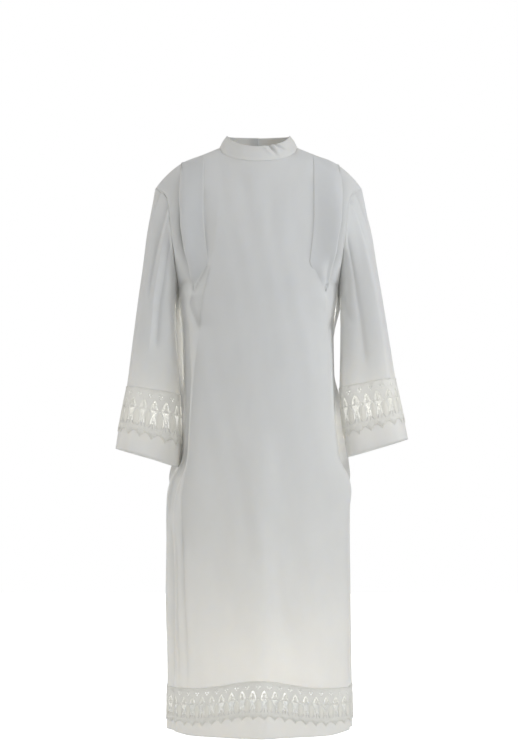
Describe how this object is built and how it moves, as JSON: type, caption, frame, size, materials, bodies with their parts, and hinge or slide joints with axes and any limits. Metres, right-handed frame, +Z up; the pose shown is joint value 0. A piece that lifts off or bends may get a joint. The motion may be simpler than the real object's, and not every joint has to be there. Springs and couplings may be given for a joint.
{
  "type": "alb",
  "caption": "Full-length white church robe, worn and hollow, with a stand collar, shoulder pleats, wide sleeves and bands of cut lace above the cuffs and the hem.",
  "frame": {"origin": "middle of the neck, level with the tops of the shoulder seams, where the wearer holds the robe up", "axes": "+Z up along the robe's length, the wearer faces -Y, the wearer's left arm is at +X"},
  "size_m": [0.716, 0.355, 1.4707],
  "materials": {
    "cloth": "smooth plain weave, soft sheen",
    "lace": "embroidered cut lace, matte",
    "button": "pearly, polished"
  },
  "bodies": {
    "root": {"front_panel_skirt": "cloth", "front_panel_body": "cloth", "front_panel_chest_right": "cloth", "front_panel_chest_left": "cloth", "front_panel_shoulder_right": "cloth", "front_panel_shoulder_left": "cloth", "back_panel_skirt": "cloth", "back_panel_body": "cloth", "back_panel_chest_right": "cloth", "back_panel_chest_left": "cloth", "back_panel_shoulder_right": "cloth", "back_panel_shoulder_left": "cloth", "right_pleat": "cloth", "left_pleat": "cloth", "collar": "cloth", "collar_button": "button", "back_placket": "cloth", "hem_lace_front": "lace", "hem_band_front": "cloth", "hem_lace_back": "lace", "hem_band_back": "cloth", "right_sleeve": "cloth", "right_cuff_lace_front": "lace", "right_cuff_lace_back": "lace", "right_cuff_band": "cloth", "left_sleeve": "cloth", "left_cuff_lace_front": "lace", "left_cuff_lace_back": "lace", "left_cuff_band": "cloth"}
  },
  "joints": []
}
